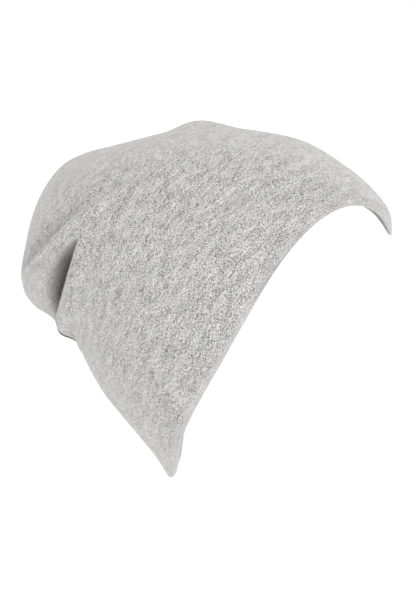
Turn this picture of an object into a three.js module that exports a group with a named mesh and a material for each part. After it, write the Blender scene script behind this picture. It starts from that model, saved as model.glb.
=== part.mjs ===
// A slouchy beanie: one hollow shell of soft brushed knit, pulled back off the brow and down over
// the nape, with the spare crown slumped behind the head.
// Millimetres, +Z up. The brow is towards -Y, the crown slumps towards +Y, and the wearer's right
// ear is on the -X side. The origin is the middle of the head opening.

import * as THREE from "three";

// Driving dimensions
const OPENING_LENGTH = 198; // brow edge to nape edge, in a straight line
const OPENING_WIDTH = 152; // across the opening, ear to ear
const OPENING_TILT = 47.5; // degrees that the opening climbs from the nape to the brow
const RIM_ARCH = 34; // how far the edge arches up over the ear
const BODY_WIDTH = 166; // across the fullest part of the cap
const CROWN_RISE = 172; // from the opening to the furthest point of the crown
const WALL = 2.4; // thickness of the knit
const FOLD_DEPTH = 16; // the measure that the depths of the folds and pockets are shares of
const KNIT_COLOUR = 0xbfbcba;

// Shares that settle how the form eases from one size to the next
const RIM_BLEND = 0.3; // share of the way to the crown in which the rim's own form fades out
const RIM_BLEND_POWER = 1.5;
const NAPE_FULLNESS = 0.05; // how much wider the back of a section is than its front
const CROWN_CALM = 0.12; // last share of the way, where the folds fade out
const FOLD_END_WIDTH = 0.35; // width of a fold at its ends, as a share of its full width
const FOLD_TAPER = 1.5; // how a fold fades from its deepest place to its ends
const ROLL_FALL = 1.5; // how quickly a soft roll falls away to its sides

// Fineness of the skin: panels around the head, rounds along each stretch and round the rim's fold
const PANELS_AROUND = 60;
const RIM_ROUNDS = 4;
const ROUNDS = table(["upTo", "rounds"], [
  [0.52, 11],
  [0.6, 7],
  [0.7, 15],
  [1.0, 12],
]);

// Names the columns of a table: each row becomes an object.
function table(columns, rows) {
  return rows.map((row) => Object.fromEntries(columns.map((column, i) => [column, row[i]])));
}

// Sections from the rim, at 0, to the end of the crown, at 1. Each is given by its brow, side and
// nape points. Forward is a share of the opening's length and up a share of the crown's rise, both
// measured from the middle of the opening. Wide is a share of the body's width.
const SECTIONS = table(
  ["at", "browForward", "browUp", "sideForward", "sideUp", "napeForward", "napeUp", "wide"],
  [
    [0.0, 0.5, 0.0, 0.105, 0.0, -0.5, 0.0, 1.0],
    [0.058, 0.545, 0.062, 0.106, 0.113, -0.48, 0.083, 1.0],
    [0.128, 0.562, 0.16, 0.101, 0.251, -0.468, 0.172, 1.0],
    [0.207, 0.558, 0.284, 0.091, 0.387, -0.458, 0.258, 1.0],
    [0.31, 0.529, 0.444, 0.071, 0.514, -0.444, 0.363, 1.0],
    [0.408, 0.46, 0.584, 0.048, 0.599, -0.421, 0.449, 1.0],
    [0.5, 0.376, 0.709, 0.017, 0.685, -0.399, 0.515, 0.988],
    [0.572, 0.3, 0.794, -0.011, 0.75, -0.386, 0.581, 0.964],
    [0.64, 0.223, 0.855, -0.045, 0.809, -0.38, 0.682, 0.935],
    [0.712, 0.131, 0.924, -0.088, 0.858, -0.389, 0.739, 0.895],
    [0.788, 0.052, 0.982, -0.139, 0.89, -0.383, 0.794, 0.82],
    [0.862, -0.033, 1.011, -0.196, 0.911, -0.364, 0.832, 0.69],
    [0.936, -0.159, 0.983, -0.258, 0.906, -0.344, 0.858, 0.46],
    [1.0, -0.317, 0.887, -0.317, 0.887, -0.317, 0.887, 0.0],
  ],
);

// The rim's arch over the ear, as a sum of powers of the cosine of the angle round the head, which
// moves its top towards the brow. Forward and up are shares of the arch's height. The two highest
// powers act at the nape alone and make its edge broad and level.
const RIM_FORM = table(["power", "forward", "up"], [
  [0, -0.177, 1.027],
  [1, 0.734, 0.788],
  [2, 0.497, 0.654],
  [3, 0.804, -0.188],
  [8, 0.537, -0.731],
  [9, -0.537, 0.731],
]);

// Folds of the slouch. At is the share of the way from the rim to the crown, slant how much that
// changes in a radian. From, deepest and to are degrees round the head, with 0 at the brow and 270
// at the wearer's right ear. Depth is a share of the fold depth, below 0 where the cloth goes in.
// Below and above are the widths towards the rim and the crown, as shares of the same way.
const FOLD_COLUMNS = ["form", "at", "from", "deepest", "to", "slant", "depth", "below", "above"];
const FOLDS = table(FOLD_COLUMNS, [
  [tuck, 0.634, 186, 226, 256, 0.015, -0.45, 0.02, 0.12], // main tuck behind the right ear
  [tuck, 0.558, 150, 194, 209, 0.1, -0.32, 0.022, 0.04], // small tuck below it
  [roll, 0.597, 160, 205, 232, 0.0, 0.27, 0.032, 0.025], // roll between the two
  [roll, 0.728, 222, 254, 300, -0.27, 0.3, 0.032, 0.03], // crest of the slumped lobe
  [roll, 0.79, 205, 252, 300, -0.25, -0.2, 0.05, 0.07], // sunken end beyond the crest
  [roll, 0.53, 345, 382, 420, 0.0, 0.38, 0.09, 0.07], // swelling on top, left of the middle
  [tuck, 0.6, 98, 134, 178, 0.05, -0.5, 0.04, 0.09], // tuck behind the left ear
  [roll, 0.7, 60, 110, 170, 0.1, 0.18, 0.07, 0.07], // lobe above it
  [roll, 0.83, 20, 90, 150, 0.12, -0.18, 0.08, 0.09], // dent in the left of the crown
]);

// Pockets, where the spare cloth is drawn in level towards the cap's middle plane.
const POCKETS = table(FOLD_COLUMNS, [
  [pocket, 0.637, 200, 238, 256, 0.015, 2.4, 0.008, 0.08], // deep hollow of the main tuck
  [pocket, 0.588, 182, 193, 207, 0.2, 1.1, 0.01, 0.04], // hollow of the small tuck
]);

// Profiles of a fold, from 1 in its middle to 0 at its side. A tuck is two round lips that meet in
// a sharp valley, a roll is a soft swelling, and a pocket is a deep hollow that eases to its side.
function tuck(side) {
  return 1 - Math.sqrt(1 - (1 - Math.min(side, 1)) ** 2);
}

function roll(side) {
  return Math.exp(-ROLL_FALL * side * side);
}

function pocket(side) {
  return (1 - Math.min(side, 1)) ** 2;
}

// Directions of the opening: forward from the nape to the brow, and up into the crown.
const tilt = THREE.MathUtils.degToRad(OPENING_TILT);
const FORWARD = new THREE.Vector3(0, -Math.cos(tilt), Math.sin(tilt));
const UP = new THREE.Vector3(0, Math.sin(tilt), Math.cos(tilt));

// One column of the sections at any place between rim and crown: a smooth curve through the rows,
// whose slope at a row is that of the line between its two neighbours.
function sectionValue(column, at) {
  const last = SECTIONS.length - 1;
  const next = SECTIONS.findIndex((row) => row.at > at);
  const i = next < 0 ? last - 1 : Math.max(next - 1, 0);
  const slope = (k) => {
    const before = SECTIONS[Math.max(k - 1, 0)];
    const after = SECTIONS[Math.min(k + 1, last)];
    return (after[column] - before[column]) / (after.at - before.at);
  };
  const start = SECTIONS[i];
  const end = SECTIONS[i + 1];
  const span = end.at - start.at;
  const t = (at - start.at) / span;
  return (
    start[column] * (2 * t ** 3 - 3 * t ** 2 + 1) +
    end[column] * (3 * t ** 2 - 2 * t ** 3) +
    span * slope(i) * (t ** 3 - 2 * t ** 2 + t) +
    span * slope(i + 1) * (t ** 3 - t ** 2)
  );
}

// A point of the body without its folds: an oval section through its brow, side and nape points.
function bodyPoint(angle, at) {
  const c = Math.cos(angle);
  const browPart = (c + c * c) / 2;
  const napePart = (c * c - c) / 2;
  const sidePart = 1 - c * c;
  const rimPart = Math.max(0, 1 - at / RIM_BLEND) ** RIM_BLEND_POWER;
  const between = (brow, side, nape) =>
    browPart * sectionValue(brow, at) + sidePart * sectionValue(side, at) + napePart * sectionValue(nape, at);
  const arch = (column) =>
    RIM_ARCH * rimPart * sidePart * RIM_FORM.reduce((sum, row) => sum + row[column] * c ** row.power, 0);
  const forward = OPENING_LENGTH * between("browForward", "sideForward", "napeForward") + arch("forward");
  const up = CROWN_RISE * between("browUp", "sideUp", "napeUp") + arch("up");
  const width = BODY_WIDTH * sectionValue("wide", at) - (BODY_WIDTH - OPENING_WIDTH) * rimPart;
  const across = (width / 2) * Math.sin(angle) * (1 - NAPE_FULLNESS * c);
  return new THREE.Vector3(across, 0, 0).addScaledVector(FORWARD, forward).addScaledVector(UP, up);
}

// The cloth's directions at a point of the body: around the head, towards the crown, and outwards.
// Run is how many millimetres the cloth covers for the whole way from rim to crown.
function directions(angle, at) {
  const step = 0.001;
  const low = Math.max(at - step, 0);
  const high = Math.min(at + step, 1 - step);
  const middle = (low + high) / 2;
  const around = bodyPoint(angle + step, middle).sub(bodyPoint(angle - step, middle));
  const along = bodyPoint(angle, high).sub(bodyPoint(angle, low));
  const run = along.length() / (high - low);
  const out = new THREE.Vector3().crossVectors(around, along).normalize();
  return { along: along.normalize(), out, run };
}

// Height of the folds in a table at a point, in millimetres.
function foldHeight(folds, angle, at) {
  const degrees = THREE.MathUtils.radToDeg(angle);
  const calm = THREE.MathUtils.smoothstep(1 - at, 0, CROWN_CALM);
  let height = 0;
  for (const fold of folds) {
    const turn = THREE.MathUtils.euclideanModulo(degrees - fold.deepest + 180, 360) - 180;
    const reach = turn < 0 ? fold.deepest - fold.from : fold.to - fold.deepest;
    const strength = Math.max(0, 1 - (turn / reach) ** 2) ** FOLD_TAPER;
    const offset = at - fold.at - fold.slant * THREE.MathUtils.degToRad(turn);
    const width = (offset < 0 ? fold.below : fold.above) * THREE.MathUtils.lerp(FOLD_END_WIDTH, 1, strength);
    height += fold.depth * strength * fold.form(Math.abs(offset) / width);
  }
  return FOLD_DEPTH * calm * height;
}

// A fold's heights within a wall's thickness to either side, each with the fall of a ball that has
// that thickness as its radius and touches the cloth there.
function nearby(folds, angle, at, run) {
  return [-1, -0.85, -0.5, 0, 0.5, 0.85, 1].map((share) => {
    const there = THREE.MathUtils.clamp(at + (share * WALL) / run, 0, 1);
    return { height: foldHeight(folds, angle, there), fall: WALL * Math.sqrt(1 - share * share) };
  });
}

// A point of the outer face: the folds lift or lower it, and the pockets draw it in.
function outerPoint(angle, at) {
  const lift = foldHeight(FOLDS, angle, at);
  return folded(angle, at, lift, foldHeight(POCKETS, angle, at));
}

// A point of the inner face, everywhere a wall inside the outer one, as if the ball had rolled
// along under the folds and behind the pockets.
function innerPoint(angle, at) {
  const { run } = directions(angle, at);
  const lift = Math.min(...nearby(FOLDS, angle, at, run).map((place) => place.height - place.fall));
  const draw = Math.max(...nearby(POCKETS, angle, at, run).map((place) => place.height + place.fall));
  return folded(angle, at, lift, draw - WALL);
}

// A point of the body, lifted outwards and then drawn in level towards the middle plane.
function folded(angle, at, lift, draw) {
  const point = bodyPoint(angle, at).addScaledVector(directions(angle, at).out, lift);
  point.x -= Math.sign(point.x) * draw;
  return point;
}

// One round of points at a share of the way from the rim to the crown, on either face.
function round(at, pointAt) {
  return Array.from({ length: PANELS_AROUND }, (_, k) => pointAt((k / PANELS_AROUND) * 2 * Math.PI, at));
}

// The rim's fold: half-round steps from the outer face to the inner one.
function rimRound(step) {
  const turn = (step / RIM_ROUNDS) * Math.PI;
  return Array.from({ length: PANELS_AROUND }, (_, k) => {
    const angle = (k / PANELS_AROUND) * 2 * Math.PI;
    const { along, out } = directions(angle, 0);
    return bodyPoint(angle, 0)
      .addScaledVector(out, (WALL / 2) * (Math.cos(turn) - 1))
      .addScaledVector(along, (WALL / 2) * (1 - Math.sin(turn)));
  });
}

// Places of the rounds between rim and crown, closer together where the folds are. The rim and the
// very end of the crown are left out.
function roundPlaces() {
  const places = [];
  let start = 0;
  for (const stretch of ROUNDS) {
    for (let k = 0; k < stretch.rounds; k += 1) {
      places.push(start + ((stretch.upTo - start) * k) / stretch.rounds);
    }
    start = stretch.upTo;
  }
  return places.slice(1);
}

// A closed skin over rounds of points, from one end point to the other.
function closedSkin(first, rounds, last) {
  const count = PANELS_AROUND;
  const points = [first, ...rounds.flat(), last];
  const at = (round, k) => 1 + round * count + (k % count);
  const faces = [];
  for (let k = 0; k < count; k += 1) {
    faces.push(0, at(0, k), at(0, k + 1));
    faces.push(points.length - 1, at(rounds.length - 1, k + 1), at(rounds.length - 1, k));
    for (let r = 0; r + 1 < rounds.length; r += 1) {
      faces.push(at(r, k), at(r + 1, k), at(r + 1, k + 1));
      faces.push(at(r, k), at(r + 1, k + 1), at(r, k + 1));
    }
  }
  const geometry = new THREE.BufferGeometry().setFromPoints(points);
  geometry.setIndex(faces);
  geometry.computeVertexNormals();
  return geometry;
}

// The end of the crown on the outer face, and one wall inside it on the inner face.
function crownEnd(depth, lastPlace) {
  const out = new THREE.Vector3();
  for (let k = 0; k < PANELS_AROUND; k += 1) {
    out.add(directions((k / PANELS_AROUND) * 2 * Math.PI, lastPlace).out);
  }
  return bodyPoint(0, 1).addScaledVector(out.normalize(), -depth);
}

// The shell: down the outer face from the crown, round the rim's fold, and up the inner face.
function beanieShell() {
  const places = roundPlaces();
  const outer = places.map((at) => round(at, outerPoint)).reverse();
  const rim = Array.from({ length: RIM_ROUNDS + 1 }, (_, step) => rimRound(step));
  const inner = places.map((at) => round(at, innerPoint));
  const lastPlace = places[places.length - 1];
  const rounds = [...outer, ...rim, ...inner];
  const geometry = closedSkin(crownEnd(0, lastPlace), rounds, crownEnd(WALL, lastPlace));
  const knit = new THREE.MeshStandardMaterial({ color: KNIT_COLOUR, roughness: 0.95, metalness: 0 });
  const shell = new THREE.Mesh(geometry, knit);
  shell.name = "beanie_shell";
  return shell;
}

const beanie = new THREE.Group();
beanie.add(beanieShell());

export default beanie;
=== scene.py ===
import math

import bpy
import numpy as np
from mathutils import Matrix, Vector


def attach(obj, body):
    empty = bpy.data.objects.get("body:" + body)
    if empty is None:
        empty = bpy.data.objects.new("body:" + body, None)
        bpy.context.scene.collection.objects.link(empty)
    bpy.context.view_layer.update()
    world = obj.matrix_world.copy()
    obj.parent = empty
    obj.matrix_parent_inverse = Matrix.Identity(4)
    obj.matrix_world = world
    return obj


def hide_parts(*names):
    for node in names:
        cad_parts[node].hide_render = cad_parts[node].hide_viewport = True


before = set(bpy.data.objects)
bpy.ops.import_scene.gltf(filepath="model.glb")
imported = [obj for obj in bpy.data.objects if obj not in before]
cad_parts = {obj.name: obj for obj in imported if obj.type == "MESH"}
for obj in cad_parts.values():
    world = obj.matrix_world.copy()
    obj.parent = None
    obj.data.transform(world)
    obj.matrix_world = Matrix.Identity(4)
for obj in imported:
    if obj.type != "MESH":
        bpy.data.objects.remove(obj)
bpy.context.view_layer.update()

# Camera
# The cap is seen from the wearer's right, a touch to the front and a little from above, through a
# long lens. A pixel of the photograph covers 0.6 mm of the cap's middle plane.
photo_width = 416
photo_height = 600
opening_pixel = (280.5, 356.5)
pixel = 0.0006
distance = 1.5
azimuth = math.radians(271)
elevation = math.radians(3)
sensor_mm = 36


def direction_to(turn, climb):
    """The unit vector from the cap to a place at this azimuth and elevation, in radians."""
    level = math.cos(climb)
    return Vector((math.sin(turn) * level, -math.cos(turn) * level, math.sin(climb)))


target = Vector((
    0,
    (opening_pixel[0] - photo_width / 2) * pixel,
    (opening_pixel[1] - photo_height / 2) * pixel,
))
camera = bpy.data.objects.new("camera", bpy.data.cameras.new("camera"))
camera.data.sensor_width = sensor_mm
camera.data.lens = sensor_mm * distance / (photo_height * pixel)
camera.data.clip_end = 20
camera.location = target + direction_to(azimuth, elevation) * distance
camera.rotation_euler = direction_to(azimuth, elevation).to_track_quat("Z", "Y").to_euler()
bpy.context.scene.collection.objects.link(camera)
bpy.context.scene.camera = camera

# Shell
# The whole cap: one tube of fine jersey knit from light grey melange yarn, closed at the crown and
# folded under at the rim, then brushed to a soft nap. It stands as the head holds it, with the
# spare crown slumped behind in tucks.
opening_length = 0.198
opening_width = 0.152
opening_tilt = math.radians(47.5)
rim_arch = 0.034
body_width = 0.166
crown_rise = 0.172
wall = 0.0024
fold_depth = 0.016

rim_blend = 0.3
rim_blend_power = 1.5
nape_fullness = 0.05
crown_calm = 0.12
fold_end_width = 0.35
fold_taper = 1.5
roll_fall = 1.5

panels_around = 240
rim_rounds = 8
outer_rounds = [(0.52, 70), (0.75, 105), (1.0, 60)]
inner_rounds = [(0.52, 34), (0.75, 46), (1.0, 26)]

# at, brow forward and up, side forward and up, nape forward and up, wide
sections = np.array([
    [0.000, 0.500, 0.000, 0.105, 0.000, -0.500, 0.000, 1.000],
    [0.058, 0.545, 0.062, 0.106, 0.113, -0.480, 0.083, 1.000],
    [0.128, 0.562, 0.160, 0.101, 0.251, -0.468, 0.172, 1.000],
    [0.207, 0.558, 0.284, 0.091, 0.387, -0.458, 0.258, 1.000],
    [0.310, 0.529, 0.444, 0.071, 0.514, -0.444, 0.363, 1.000],
    [0.408, 0.460, 0.584, 0.048, 0.599, -0.421, 0.449, 1.000],
    [0.500, 0.376, 0.709, 0.017, 0.685, -0.399, 0.515, 0.988],
    [0.572, 0.300, 0.794, -0.011, 0.750, -0.386, 0.581, 0.964],
    [0.640, 0.223, 0.855, -0.045, 0.809, -0.380, 0.682, 0.935],
    [0.712, 0.131, 0.924, -0.088, 0.858, -0.389, 0.739, 0.895],
    [0.788, 0.052, 0.982, -0.139, 0.890, -0.383, 0.794, 0.820],
    [0.862, -0.033, 1.011, -0.196, 0.911, -0.364, 0.832, 0.690],
    [0.936, -0.159, 0.983, -0.258, 0.906, -0.344, 0.858, 0.460],
    [1.000, -0.317, 0.887, -0.317, 0.887, -0.317, 0.887, 0.000],
])

# power of the cosine round the head, forward and up as shares of the rim's arch
rim_form = [
    (0, -0.177, 1.027),
    (1, 0.734, 0.788),
    (2, 0.497, 0.654),
    (3, 0.804, -0.188),
    (8, 0.537, -0.731),
    (9, -0.537, 0.731),
]


def tuck(side):
    """A quarter circle: 1 in the valley, falling steeply at first and flat at its side."""
    return 1 - np.sqrt(1 - (1 - np.minimum(side, 1)) ** 2)


def roll(side):
    """A bell curve: 1 in the middle and almost 0 past its side."""
    return np.exp(-roll_fall * side ** 2)


def pocket(side):
    """A deep hollow: 1 in its middle and easing to 0 at its side, as a parabola."""
    return (1 - np.minimum(side, 1)) ** 2


# form, at, from, deepest and to in degrees round the head, slant, depth, width below and above
folds = [
    (tuck, 0.634, 186, 226, 256, 0.015, -0.45, 0.02, 0.12),
    (tuck, 0.558, 150, 194, 209, 0.1, -0.32, 0.022, 0.04),
    (roll, 0.597, 160, 205, 232, 0.0, 0.27, 0.032, 0.025),
    (roll, 0.728, 222, 254, 300, -0.27, 0.3, 0.032, 0.03),
    (roll, 0.79, 205, 252, 300, -0.25, -0.2, 0.05, 0.07),
    (roll, 0.53, 345, 382, 420, 0.0, 0.38, 0.09, 0.07),
    (tuck, 0.6, 98, 134, 178, 0.05, -0.5, 0.04, 0.09),
    (roll, 0.7, 60, 110, 170, 0.1, 0.18, 0.07, 0.07),
    (roll, 0.83, 20, 90, 150, 0.12, -0.18, 0.08, 0.09),
]
pockets = [
    (pocket, 0.637, 200, 238, 256, 0.015, 2.4, 0.008, 0.08),
    (pocket, 0.588, 182, 193, 207, 0.2, 1.1, 0.01, 0.04),
]

forward = np.array([0, -math.cos(opening_tilt), math.sin(opening_tilt)])
up = np.array([0, math.sin(opening_tilt), math.cos(opening_tilt)])


def between_rows(at):
    """The sections' columns at any share of the way to the crown: a cubic through the rows, whose
    slope at each row is that of the straight line between its two neighbours."""
    place = sections[:, 0]
    value = sections[:, 1:]
    slope = np.empty_like(value)
    slope[1:-1] = (value[2:] - value[:-2]) / (place[2:] - place[:-2])[:, None]
    slope[0] = (value[1] - value[0]) / (place[1] - place[0])
    slope[-1] = (value[-1] - value[-2]) / (place[-1] - place[-2])
    i = np.clip(np.searchsorted(place, at, side="right") - 1, 0, len(place) - 2)
    span = (place[i + 1] - place[i])[..., None]
    t = ((at - place[i])[..., None]) / span
    return (
        value[i] * (2 * t ** 3 - 3 * t ** 2 + 1)
        + value[i + 1] * (3 * t ** 2 - 2 * t ** 3)
        + slope[i] * span * (t ** 3 - 2 * t ** 2 + t)
        + slope[i + 1] * span * (t ** 3 - t ** 2)
    )


def body(angle, at):
    """A point of the cap without its folds. In the cosine of the angle, forward and up are the
    parabola through the brow, side and nape points of the section, plus the rim's arch near the
    edge, and across is the half width times the sine."""
    column = np.moveaxis(between_rows(at), -1, 0)
    c = np.cos(angle)
    brow_part = (c + c * c) / 2
    nape_part = (c * c - c) / 2
    side_part = 1 - c * c
    rim_part = np.clip(1 - at / rim_blend, 0, 1) ** rim_blend_power
    ahead = opening_length * (brow_part * column[0] + side_part * column[2] + nape_part * column[4])
    rise = crown_rise * (brow_part * column[1] + side_part * column[3] + nape_part * column[5])
    for power, arch_forward, arch_up in rim_form:
        ahead = ahead + rim_arch * rim_part * side_part * arch_forward * c ** power
        rise = rise + rim_arch * rim_part * side_part * arch_up * c ** power
    width = body_width * column[6] - (body_width - opening_width) * rim_part
    point = ahead[..., None] * forward + rise[..., None] * up
    point[..., 0] = width / 2 * np.sin(angle) * (1 - nape_fullness * c)
    return point


def directions(angle, at):
    """The cloth's directions at a point of the body, from small steps of the surface: towards the
    crown, outwards, and the metres of cloth for the whole way from rim to crown."""
    step = 0.001
    low = np.maximum(at - step, 0)
    high = np.minimum(at + step, 1 - step)
    middle = (low + high) / 2
    around = body(angle + step, middle) - body(angle - step, middle)
    along = body(angle, high) - body(angle, low)
    length = np.linalg.norm(along, axis=-1)
    out = np.cross(around, along)
    out /= np.linalg.norm(out, axis=-1, keepdims=True)
    return along / length[..., None], out, length / (high - low)


def fold_height(rows, angle, at):
    """Height of the folds in these rows: for each fold, its depth, times how strong it is at this
    angle, times its profile at this distance from its middle line."""
    calm = np.clip((1 - at) / crown_calm, 0, 1)
    calm = calm * calm * (3 - 2 * calm)
    height = 0
    for form, place, start, deepest, end, slant, depth, below, above in rows:
        turn = (np.degrees(angle) - deepest + 180) % 360 - 180
        reach = np.where(turn < 0, deepest - start, end - deepest)
        strength = np.clip(1 - (turn / reach) ** 2, 0, 1) ** fold_taper
        offset = at - place - slant * np.radians(turn)
        spread = fold_end_width + (1 - fold_end_width) * strength
        width = np.where(offset < 0, below, above) * spread
        height = height + depth * strength * form(np.abs(offset) / width)
    return fold_depth * calm * height


# Places along the cloth, as shares of the wall's thickness, where the rolling ball may touch it.
ball_shares = (-1, -0.85, -0.5, 0, 0.5, 0.85, 1)


def lining_height(rows, angle, at, run):
    """Height of the inner face: one wall under the outer one, as if a ball with the wall's
    thickness as its radius had rolled under it along the folds."""
    depths = [
        fold_height(rows, angle, np.clip(at + share * wall / run, 0, 1))
        - wall * math.sqrt(1 - share * share)
        for share in ball_shares
    ]
    return np.minimum.reduce(depths)


def lining_sink(rows, angle, at, run):
    """How far the inner face sinks with the pockets: as far as the outer one within a wall's
    thickness to either side, less the ball's own fall."""
    depths = [
        fold_height(rows, angle, np.clip(at + share * wall / run, 0, 1))
        - wall * (1 - math.sqrt(1 - share * share))
        for share in ball_shares
    ]
    return np.maximum.reduce(depths)


def drawn_in(points, depth):
    """The points moved level towards the cap's middle plane by this depth."""
    moved = points.copy()
    moved[..., 0] -= np.sign(points[..., 0]) * depth
    return moved


def round_places(stretches):
    """Shares of the way at which the rounds lie, evenly spaced within each stretch."""
    start = 0
    places = []
    for end, rounds in stretches:
        places.append(np.linspace(start, end, rounds, endpoint=False))
        start = end
    return np.concatenate(places)[1:]


angle = (np.arange(panels_around) / panels_around * 2 * math.pi)[None, :]
outer_at = round_places(outer_rounds)[::-1][:, None] + 0 * angle
inner_at = round_places(inner_rounds)[:, None] + 0 * angle
rim_at = np.zeros((rim_rounds + 1, 1)) + 0 * angle

out = directions(angle, outer_at)[1]
outer_face = body(angle, outer_at) + out * fold_height(folds, angle, outer_at)[..., None]
outer_face = drawn_in(outer_face, fold_height(pockets, angle, outer_at))
out, run = directions(angle, inner_at)[1:]
inner_face = body(angle, inner_at) + out * lining_height(folds, angle, inner_at, run)[..., None]
inner_face = drawn_in(inner_face, lining_sink(pockets, angle, inner_at, run))
along, out = directions(angle, rim_at)[:2]
rim_turn = np.linspace(0, math.pi, rim_rounds + 1)[:, None, None]
rim_step = out * (np.cos(rim_turn) - 1) + along * (1 - np.sin(rim_turn))
rim_face = body(angle, rim_at) + wall / 2 * rim_step
crown_out = directions(angle, np.full_like(angle, outer_at.max()))[1].mean(axis=(0, 1))
crown_out /= np.linalg.norm(crown_out)
crown_end = body(np.zeros(1), np.ones(1))

rounds = np.concatenate([outer_face, rim_face, inner_face])
round_at = np.concatenate([outer_at, rim_at, inner_at])
points = np.concatenate([crown_end, rounds.reshape(-1, 3), crown_end - crown_out * wall])


def skin_faces(round_count, around):
    """Faces of a closed skin: a fan at each end and quads between the rounds. Each is given with
    the share of the way round of its corners, which runs on to 1 across the last panel."""
    k = np.arange(around)
    after = (k + 1) % around
    r = np.arange(round_count - 1)[:, None] * around + 1
    quads = np.stack([r + k, r + around + k, r + around + after, r + after], -1).reshape(-1, 4)
    turns = np.stack([k, k, k + 1, k + 1], -1)[None].repeat(round_count - 1, 0).reshape(-1, 4) / around
    last = (round_count - 1) * around + 1
    fans = np.stack([0 * k, 1 + k, 1 + after], -1)
    end_fans = np.stack([0 * k + last + around, last + after, last + k], -1)
    fan_turns = np.stack([k + 0.5, k, k + 1], -1) / around
    fan_turns = np.concatenate([fan_turns, fan_turns[:, [0, 2, 1]]])
    return quads, turns, np.concatenate([fans, end_fans]), fan_turns


quads, quad_turns, fans, fan_turns = skin_faces(len(rounds), panels_around)
shell_mesh = bpy.data.meshes.new("beanie_knit")
shell_mesh.from_pydata(points.tolist(), [], quads.tolist() + fans.tolist())
shell_mesh.shade_smooth()

# The UV map lays the knit out flat, in metres: across the wales and along them.
girth = 0.6
height = 0.22
vertex_at = np.concatenate([[1], round_at.ravel(), [1]])
corners = np.concatenate([quads.ravel(), fans.ravel()])
corner_turns = np.concatenate([quad_turns.ravel(), fan_turns.ravel()])
knit_places = np.stack([corner_turns * girth, vertex_at[corners] * height], -1)
knit_map = shell_mesh.uv_layers.new(name="knit")
knit_map.data.foreach_set("uv", knit_places.ravel())

shell = bpy.data.objects.new("beanie_knit", shell_mesh)
bpy.context.scene.collection.objects.link(shell)


def linear(code):
    """An sRGB hex colour as linear red, green, blue and alpha."""
    parts = [int(code[i:i + 2], 16) / 255 for i in (1, 3, 5)]
    return [p / 12.92 if p <= 0.04045 else ((p + 0.055) / 1.055) ** 2.4 for p in parts] + [1]


def add_node(material, kind, settings={}, inputs={}):
    """Adds a node. Settings are its own properties, and each input is a value or another node's
    output socket."""
    made = material.node_tree.nodes.new(kind)
    for name, value in settings.items():
        setattr(made, name, value)
    for name, value in inputs.items():
        if isinstance(value, bpy.types.NodeSocket):
            material.node_tree.links.new(value, made.inputs[name])
        else:
            made.inputs[name].default_value = value
    return made


# Brushed melange jersey
# Light grey yarn spun from white, grey and a few dark fibres. The stitches stay as faint dashes
# along the wales, the yarn mottles in soft clouds, and the brushed nap gives a pale sheen at the
# edges. Sizes are metres, across the wales and along them. The dashes are a stitch wide but longer
# than one, and the speckle is drawn coarser than the fibres, which are too fine to show.
dash_size = (0.00055, 0.0014)
speckle_size = 0.00042
mottle_size = (0.0026, 0.0022)
cloud_size = (0.011, 0.006)
drift_size = 0.01
dash_weight = 1.9
speckle_weight = 1.9
mottle_weight = 0.55
cloud_weight = 0.7
sheen_weight = 1.0
nap_depth = 0.0006

# Along the fold of the rim, painted sheen where the rolled edge catches the light: a pale band whose
# speckle shows by half.
rim_sheen_full = 0.002
rim_sheen_end = 0.007
rim_sheen_speckle = 0.5

knit = bpy.data.materials.new("brushed_melange_jersey")
knit.use_nodes = True
knit.node_tree.nodes.clear()
flat = add_node(knit, "ShaderNodeUVMap", {"uv_map": "knit"}).outputs["UV"]
place = add_node(knit, "ShaderNodeTexCoord").outputs["Object"]


def flat_noise(size, detail):
    """Noise on the laid-out knit, whose blots are about this wide across the wales and along
    them."""
    scale = (1 / size[0], 1 / size[1], 1)
    scaled = add_node(knit, "ShaderNodeMapping", {}, {"Vector": flat, "Scale": scale})
    return add_node(knit, "ShaderNodeTexNoise", {}, {
        "Vector": scaled.outputs[0], "Scale": 1.0, "Detail": detail, "Roughness": 0.6,
    }).outputs[0]


dashes = flat_noise(dash_size, 1.0)
mottle = flat_noise(mottle_size, 1.0)
clouds = flat_noise(cloud_size, 2.0)
speckle = add_node(knit, "ShaderNodeTexNoise", {}, {
    "Vector": place, "Scale": 1 / speckle_size, "Detail": 1.0, "Roughness": 0.6,
}).outputs[0]
drift = add_node(knit, "ShaderNodeTexNoise", {}, {
    "Vector": place, "Scale": 1 / drift_size, "Detail": 2.0, "Roughness": 0.5,
}).outputs[0]

tone = 0.5 - (dash_weight + speckle_weight + mottle_weight + cloud_weight) / 2
for noise, weight in (
    (dashes, dash_weight), (speckle, speckle_weight), (mottle, mottle_weight), (clouds, cloud_weight),
):
    tone = add_node(knit, "ShaderNodeMath", {"operation": "MULTIPLY_ADD"}, {
        0: noise, 1: weight, 2: tone,
    }).outputs[0]
shades = add_node(knit, "ShaderNodeValToRGB", {}, {"Fac": tone})
ramp = shades.color_ramp
ramp.elements[0].position = 0.0
ramp.elements[0].color = linear("#504e4c")
ramp.elements[1].position = 1.0
ramp.elements[1].color = linear("#eae7e4")
middle_shade = ramp.elements.new(0.5)
middle_shade.color = linear("#bab8b7")

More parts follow.
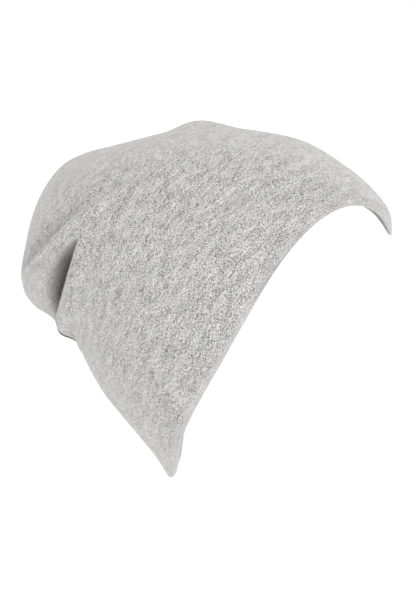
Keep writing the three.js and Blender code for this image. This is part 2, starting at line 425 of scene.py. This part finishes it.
tint = add_node(knit, "ShaderNodeMix", {"data_type": "RGBA"}, {
    0: add_node(knit, "ShaderNodeMapRange", {}, {
        "Value": drift, "From Min": 0.35, "From Max": 0.65,
    }).outputs[0],
    6: (1.018, 0.989, 0.992, 1), 7: (0.976, 1.004, 0.992, 1),
})
dyed = add_node(knit, "ShaderNodeMix", {"data_type": "RGBA", "blend_type": "MULTIPLY"}, {
    0: 1.0, 6: shades.outputs[0], 7: tint.outputs[2],
})
rim_distance = add_node(knit, "ShaderNodeSeparateXYZ", {}, {0: flat}).outputs["Y"]
# Painted sheen along the rim: a pale colour mixed over the knit, strongest at the fold and gone a few
# millimetres above it.
rim_sheen_painted = add_node(knit, "ShaderNodeMix", {"data_type": "RGBA"}, {
    0: add_node(knit, "ShaderNodeMapRange", {}, {
        "Value": rim_distance, "From Min": rim_sheen_full, "From Max": rim_sheen_end, "To Min": rim_sheen_speckle,
    }).outputs[0],
    6: linear("#ccc9c7"), 7: dyed.outputs[2],
})
bump = add_node(knit, "ShaderNodeBump", {}, {"Strength": 0.5, "Distance": nap_depth, "Height": tone})
cloth = add_node(knit, "ShaderNodeBsdfPrincipled", {}, {
    "Base Color": rim_sheen_painted.outputs[2],
    "Roughness": 0.95,
    "IOR": 1.45,
    "Specular IOR Level": 0.15,
    "Sheen Weight": sheen_weight,
    "Sheen Roughness": 0.4,
    "Normal": bump.outputs[0],
})
add_node(knit, "ShaderNodeOutputMaterial", {}, {"Surface": cloth.outputs[0]})
shell_mesh.materials.append(knit)

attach(shell, "root")
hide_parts("beanie_shell")

# Floor and light
# A plain pale studio: a wide white floor well below the cap, an even white surround and one large
# soft lamp, low and towards the brow from the camera. The view transform keeps the knit's colours.
floor_depth = 0.6
half_floor = 8
surround_strength = 1.1
floor_mesh = bpy.data.meshes.new("floor")
floor_mesh.from_pydata([
    (-half_floor, -half_floor, -floor_depth),
    (half_floor, -half_floor, -floor_depth),
    (half_floor, half_floor, -floor_depth),
    (-half_floor, half_floor, -floor_depth),
], [], [(0, 1, 2, 3)])
floor = bpy.data.objects.new("floor", floor_mesh)
bpy.context.scene.collection.objects.link(floor)
floor_paint = bpy.data.materials.new("matt_white_paint")
floor_paint.use_nodes = True
floor_shader = floor_paint.node_tree.nodes["Principled BSDF"]
floor_shader.inputs["Base Color"].default_value = linear("#fbfbfb")
floor_shader.inputs["Roughness"].default_value = 0.9
floor_mesh.materials.append(floor_paint)

world = bpy.data.worlds.new("studio")
world.use_nodes = True
world.node_tree.nodes["Background"].inputs["Color"].default_value = (1, 1, 1, 1)
world.node_tree.nodes["Background"].inputs["Strength"].default_value = surround_strength
bpy.context.scene.world = world


def soft_lamp(name, azimuth_degrees, elevation_degrees, metres, size, watts):
    """A square lamp at a distance from the cap, turned to face it."""
    lamp = bpy.data.objects.new(name, bpy.data.lights.new(name, "AREA"))
    lamp.data.size = size
    lamp.data.energy = watts
    away = direction_to(math.radians(azimuth_degrees), math.radians(elevation_degrees))
    lamp.location = target + away * metres
    lamp.rotation_euler = away.to_track_quat("Z", "Y").to_euler()
    bpy.context.scene.collection.objects.link(lamp)


soft_lamp("key", azimuth_degrees=305, elevation_degrees=-8, metres=2.0, size=1.2, watts=9)
bpy.context.scene.view_settings.view_transform = "Standard"
